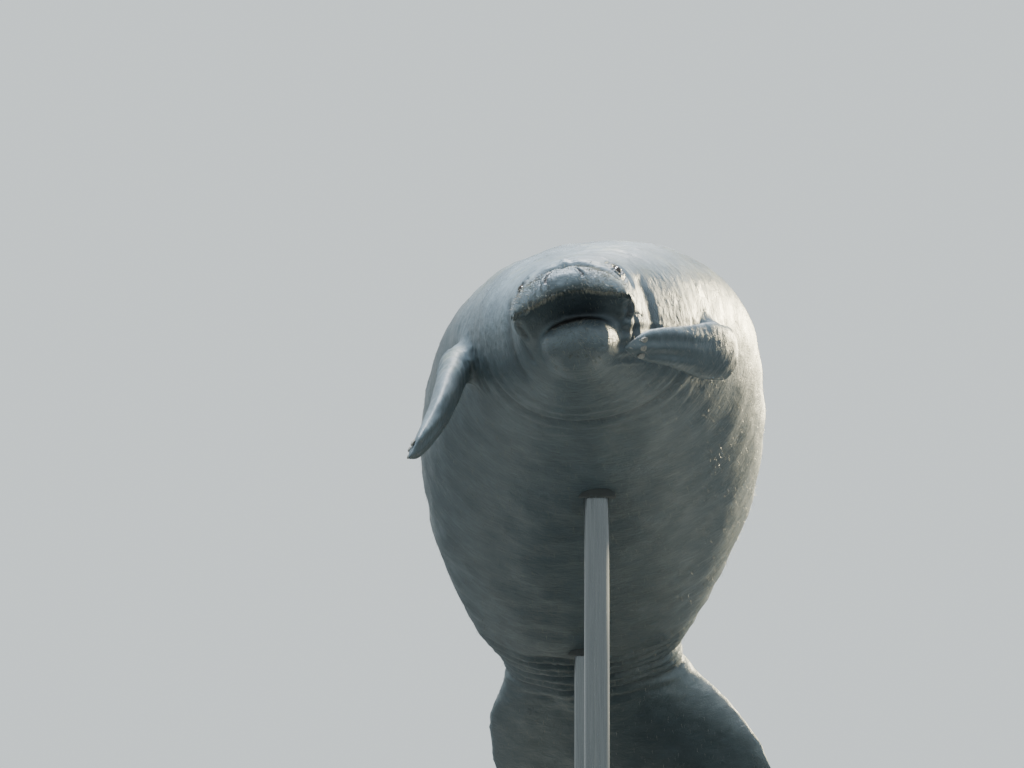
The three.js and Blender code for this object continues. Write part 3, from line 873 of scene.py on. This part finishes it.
def hairNodes():
    tree, sockets, given = newNodes("grow hairs", {
        "Geometry": "Geometry", "Field": "String", "Most": "Float", "Length": "Float", "Thick": "Float",
        "Stand": "Float", "Seed": "Int", "Finish": "Material"})

    def named(name, kind="FLOAT"):
        node = addNode(tree, "GeometryNodeInputNamedAttribute", {"data_type": kind}, {"Name": name})
        return node.outputs["Attribute"]

    def maths(operation, *values):
        return addNode(tree, "ShaderNodeMath", {"operation": operation}, dict(enumerate(values))).outputs[0]

    def vectors(operation, *values):
        node = addNode(tree, "ShaderNodeVectorMath", {"operation": operation}, dict(enumerate(values)))
        return node.outputs["Vector"]

    def scaled(vector, by):
        node = addNode(tree, "ShaderNodeVectorMath", {"operation": "SCALE"}, {0: vector, "Scale": by})
        return node.outputs["Vector"]

    def stored(geometry, name, kind, domain, value):
        return addNode(tree, "GeometryNodeStoreNamedAttribute", {"data_type": kind, "domain": domain},
                       {"Geometry": geometry, "Name": name, "Value": value}).outputs["Geometry"]

    def random(kind, low, high, seed):
        node = addNode(tree, "FunctionNodeRandomValue", {"data_type": kind})
        used = [socket for socket in node.inputs if socket.enabled]
        used[0].default_value, used[1].default_value = low, high
        node.inputs["Seed"].default_value = seed
        return next(socket for socket in node.outputs if socket.enabled)

    density = maths("MULTIPLY", named(given["Field"]), given["Most"])
    spread = addNode(tree, "GeometryNodeDistributePointsOnFaces", None,
                     {"Mesh": given["Geometry"], "Density": density, "Seed": given["Seed"]}).outputs
    body = addNode(tree, "ShaderNodeSeparateXYZ", None, {"Vector": named("bodyPlace", "FLOAT_VECTOR")}).outputs
    turn = maths("MULTIPLY_ADD", maths("ARCTAN2", body["Y"], body["Z"]), 1 / (2 * math.pi), 0.5)
    root = addNode(tree, "ShaderNodeCombineXYZ", None, {"X": named("unwrapAlong"), "Y": turn}).outputs["Vector"]
    points = stored(spread["Points"], "root", "FLOAT_VECTOR", "POINT", root)

    cone = addNode(tree, "GeometryNodeMeshCone", {"fill_type": "NONE"}, {
        "Vertices": 4, "Side Segments": 2, "Radius Top": hairShape["tip"],
        "Radius Bottom": given["Thick"], "Depth": given["Length"]}).outputs
    position = addNode(tree, "GeometryNodeInputPosition").outputs[0]
    height = addNode(tree, "ShaderNodeSeparateXYZ", None, {"Vector": position}).outputs["Z"]
    sideways = maths("MULTIPLY", maths("MULTIPLY", height, height), hairShape["bend"])
    bend = addNode(tree, "ShaderNodeCombineXYZ", None, {"X": sideways}).outputs["Vector"]
    bent = addNode(tree, "GeometryNodeSetPosition", None, {"Geometry": cone["Mesh"], "Offset": bend})
    hair = stored(bent.outputs["Geometry"], "own", "FLOAT_VECTOR", "CORNER", cone["UV Map"])

    sway = hairShape["sway"]
    flat = scaled(named("lie", "FLOAT_VECTOR"), maths("SUBTRACT", 1.0, given["Stand"]))
    aim = vectors("ADD", scaled(spread["Normal"], given["Stand"]), flat)
    aim = vectors("ADD", aim, random("FLOAT_VECTOR", (-sway,) * 3, (sway,) * 3, 21))
    facing = addNode(tree, "FunctionNodeAlignRotationToVector", {"axis": "Z"}, {"Vector": aim})
    placed = addNode(tree, "GeometryNodeInstanceOnPoints", None, {
        "Points": points, "Instance": hair, "Rotation": facing.outputs["Rotation"],
        "Scale": random("FLOAT", hairShape["shortest"], 1.0, 22)}).outputs["Instances"]
    solid = addNode(tree, "GeometryNodeRealizeInstances", None, {"Geometry": placed}).outputs["Geometry"]
    centre = vectors("SUBTRACT", named("own", "FLOAT_VECTOR"), (0.5, 0.5, 0.0))
    patch = vectors("ADD", named("root", "FLOAT_VECTOR"), scaled(centre, hairShape["unwrapWidth"]))
    mapped = stored(solid, "OFBake", "FLOAT2", "CORNER", patch)
    finished = addNode(tree, "GeometryNodeSetMaterial", None, {"Geometry": mapped, "Material": given["Finish"]})
    addNode(tree, "NodeGroupOutput", None, {"Geometry": finished.outputs["Geometry"]})
    return tree, sockets


growHairs, hairSockets = hairNodes()
for name, plan in hairPlan.items():
    hairs = addPiece(name, skin.data)
    growOn(hairs, growHairs, hairSockets, {**plan, "Finish": hairLook})
    for left in ("root", "own", *fields):
        if left in hairs.data.attributes:
            hairs.data.attributes.remove(hairs.data.attributes[left])
    hairs.data.shade_smooth()
    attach(hairs, "root")
    unwraps = [layer.name for layer in hairs.data.uv_layers]
    report(f"{name}, {len(hairs.data.polygons)} faces, unwraps {unwraps}")


# Wet eyeballs: small and dark, the iris hardly lighter than the pupil, under a clear film with a sharp glint
eyePlan = {
    "pupil": "#030303", "iris": "#16100d", "white": "#2c2420", "streaks": 0.002,
    "pupilEnds": 0.26, "irisEnds": 0.56, "roughness": 0.12, "coat": 0.4, "coatRoughness": 0.05,
    "bulge": 0.05, "bulgeEnds": 0.35,
}


def eyeMaterial():
    material, tree, shader = newMaterial("wet eyeball")
    away = addNode(tree, "ShaderNodeAttribute", {"attribute_name": "fromPupil"}).outputs["Fac"]
    pupil, iris, white = [srgb(eyePlan[name]) for name in ("pupil", "iris", "white")]
    pupilEnds, irisEnds = eyePlan["pupilEnds"], eyePlan["irisEnds"]
    streaks = noise(tree, objectPlace(tree), eyePlan["streaks"], (1, 1, 1), 3)
    colour = mixed(tree, remapped(tree, streaks, 0.35, 0.7, 0, 0.5), iris, white)
    colour = mixed(tree, remapped(tree, away, pupilEnds, pupilEnds + 0.05), pupil, colour)
    colour = mixed(tree, remapped(tree, away, irisEnds, irisEnds + 0.1), colour, white)
    tree.links.new(colour, shader.inputs["Base Color"])
    shader.inputs["Roughness"].default_value = eyePlan["roughness"]
    shader.inputs["Coat Weight"].default_value = eyePlan["coat"]
    shader.inputs["Coat Roughness"].default_value = eyePlan["coatRoughness"]
    return material


eyeLook = eyeMaterial()
for side, place in eyePlaces.items():
    gaze = Vector(unit(0.86 * eyeSides[side] * eyeSideways + 0.38 * eyeUpwards - 0.3 * eyeAhead))
    ball = bmesh.new()
    bmesh.ops.create_uvsphere(ball, u_segments=48, v_segments=32, radius=bodyPlan["eyeRadius"] * mm)
    turn = gaze.to_track_quat("Z", "Y").to_matrix()
    fromPupil = []
    for vert in ball.verts:
        away = math.acos(max(-1, min(1, vert.co.normalized().z))) / (math.pi / 2)
        fromPupil.append(away)
        vert.co *= 1 + eyePlan["bulge"] * math.exp(-(away / eyePlan["bulgeEnds"]) ** 2) - eyePlan["bulge"]
        vert.co = turn @ vert.co + Vector(place)
    mesh = bpy.data.meshes.new(f"eyeball_{side}")
    ball.to_mesh(mesh)
    ball.free()
    mesh.shade_smooth()
    mesh.attributes.new("fromPupil", "FLOAT", "POINT").data.foreach_set("value", fromPupil)
    mesh.materials.append(eyeLook)
    eyeball = addPiece(f"eyeball_{side}", mesh)
    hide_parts(f"eye_{side}")
    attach(eyeball, "root")
report("eyes")


# Nails: low plates of horn on the flippers' outer faces, grown in layers and scuffed, so they show fine growth
# lines and a dull, waxy light
nailPlan = {
    "at": 0.92, "apart": 19, "across": 6.6, "along": 10.4, "thick": 3.6, "rise": 0.86, "outerDrop": 2.5,
    "taper": 0.22, "dome": 0.8,
}
nailLook = patternedMaterial("worn horn nail", {
    "dark": "#54524e", "light": "#77756f", "span": (0.35, 0.65), "pattern": (0.004, (2.4, 0.6, 0.6), 4),
    "roughness": (0.5, 0.65), "bump": (0.5, 0.0005)})
nailTurns = np.linspace(0, 2 * np.pi, 40, endpoint=False)
turns, tilts = np.meshgrid(nailTurns, np.linspace(-0.5, 0.5, 17) * np.pi, indexing="ij")
nailShape = np.stack([np.cos(turns) * np.cos(tilts), np.sin(turns) * np.cos(tilts), np.sin(tilts)], -1)
nailShape[..., 0] *= 1 - nailPlan["taper"] * nailShape[..., 1]
domed = np.abs(nailShape[..., 2]) ** nailPlan["dome"]
nailShape[..., 2] = np.where(nailShape[..., 2] > 0, domed, nailShape[..., 2])
for side in bodyPlan["flippers"]:
    even, line, along, across, flat = flipperLines[side]
    pick = round(nailPlan["at"] * (len(even) - 1))
    surface = through(bodyPlan["flipperSections"], 2)(nailPlan["at"]) * nailPlan["rise"]
    for number in (1, 2, 3):
        aside = number - 2
        lift = surface - abs(aside) * nailPlan["outerDrop"]
        middle = line[pick] + across[pick] * aside * nailPlan["apart"] + flat[pick] * lift
        points = (middle + nailShape[..., :1] * nailPlan["across"] * across[pick]
                  + nailShape[..., 1:2] * nailPlan["along"] * along[pick]
                  + nailShape[..., 2:] * nailPlan["thick"] * flat[pick])
        name = f"nail_{side}_{number}"
        nail = addPiece(name, meshOf(name, *loft(points.transpose(1, 0, 2) * mm)))
        nail.data.materials.append(nailLook)
        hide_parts(f"flipper_{side}_nail_{number}")
        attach(nail, "root")
report("nails")


# Stand. Sprayed satin paint on steel: an even dark grey with faint orange peel. Steel brushed along its length:
# fine lines that draw the light out lengthwise. Moulded black rubber: dull, with a dusty bloom.
paintLook = patternedMaterial("satin painted steel", {
    "dark": "#3b4247", "light": "#4a5257", "span": (0.35, 0.7), "pattern": (0.35, (1, 1, 1), 5),
    "roughness": (0.42, 0.56), "relief": (0.004, (1, 1, 1), 2), "bump": (0.25, 0.0004)})
steelLook = patternedMaterial("brushed steel", {
    "dark": "#6a6e70", "light": "#75797b", "span": (0.3, 0.7), "pattern": (0.004, (1, 1, 0.02), 3),
    "roughness": (0.24, 0.34), "bump": (0.1, 0.0001), "metallic": 1.0})
rubberLook = patternedMaterial("black rubber", {
    "dark": "#1f2223", "light": "#2f3334", "span": (0.4, 0.7), "pattern": (0.03, (1, 1, 1), 5),
    "roughness": (0.6, 0.8), "relief": (0.003, (1, 1, 1), 2), "bump": (0.3, 0.0003)})
for name, look in (("base", paintLook), ("rod_front", steelLook), ("rod_rear", steelLook),
                   ("flange_front", steelLook), ("flange_rear", steelLook)):
    for slot in bpy.data.objects[f"stand_{name}"].material_slots:
        slot.material = look

# Hex screws with washers round each flange, in metres, and rubber pads where the rods meet the belly
screwPlan = {"each": 4, "ring": 0.066, "head": 0.0075, "rise": 0.006, "washer": 0.011, "washerRise": 0.0016}
padPlan = {"radius": 47, "height": 34, "sunk": 22}
padProfile = [(0.90, 0.0), (0.97, 0.03), (1.0, 0.12), (1.0, 0.88), (0.97, 0.97), (0.9, 1.0)]


def screwNodes():
    tree, sockets, given = newNodes("flange screws", {"Ring": "Float", "Finish": "Material"})
    ring = addNode(tree, "GeometryNodeMeshCircle", None,
                   {"Vertices": screwPlan["each"], "Radius": given["Ring"]})
    ring = addNode(tree, "GeometryNodeTransform", None,
                   {"Geometry": ring.outputs["Mesh"], "Rotation": (0, 0, math.pi / screwPlan["each"])})
    both = addNode(tree, "GeometryNodeJoinGeometry")
    discs = [(6, screwPlan["head"], screwPlan["washerRise"], screwPlan["rise"]),
             (24, screwPlan["washer"], 0, screwPlan["washerRise"])]
    for sides, radius, low, high in discs:
        disc = addNode(tree, "GeometryNodeMeshCylinder", None,
                       {"Vertices": sides, "Radius": radius, "Depth": high - low})
        disc = addNode(tree, "GeometryNodeTransform", None,
                       {"Geometry": disc.outputs["Mesh"], "Translation": (0, 0, (low + high) / 2)})
        tree.links.new(disc.outputs["Geometry"], both.inputs["Geometry"])
    screws = addNode(tree, "GeometryNodeInstanceOnPoints", None,
                     {"Points": ring.outputs["Geometry"], "Instance": both.outputs["Geometry"]})
    solid = addNode(tree, "GeometryNodeRealizeInstances", None, {"Geometry": screws.outputs["Instances"]})
    finished = addNode(tree, "GeometryNodeSetMaterial", None,
                       {"Geometry": solid.outputs["Geometry"], "Material": given["Finish"]})
    addNode(tree, "NodeGroupOutput", None, {"Geometry": finished.outputs["Geometry"]})
    return tree, sockets


placeScrews, screwSockets = screwNodes()
turn = np.linspace(0, 2 * np.pi, 64, endpoint=False)
for end in ("front", "rear"):
    low, high = [np.array(corner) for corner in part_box(f"stand_flange_{end}")]
    screws = addPiece(f"screws_{end}", bpy.data.meshes.new(f"screws_{end}"))
    growOn(screws, placeScrews, screwSockets, {"Ring": screwPlan["ring"], "Finish": steelLook})
    setPlaces(screws.data, placesOf(screws.data) + [(low[0] + high[0]) / 2, (low[1] + high[1]) / 2, high[2]])
    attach(screws, "root")
    low, high = [np.array(corner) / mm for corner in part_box(f"stand_rod_{end}")]
    middle = (low + high) / 2
    rings = []
    for share, level in padProfile:
        out = padPlan["radius"] * share
        height = high[2] + padPlan["sunk"] - padPlan["height"] * (1 - level)
        across, ahead = middle[0] + out * np.cos(turn), middle[1] + out * np.sin(turn)
        rings.append(np.stack([across, ahead, np.full(len(turn), height)], -1))
    pad = addPiece(f"rod_pad_{end}", meshOf(f"rod_pad_{end}", *loft(np.array(rings)[:, ::-1] * mm)))
    pad.data.materials.append(rubberLook)
    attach(pad, "root")
report("stand")
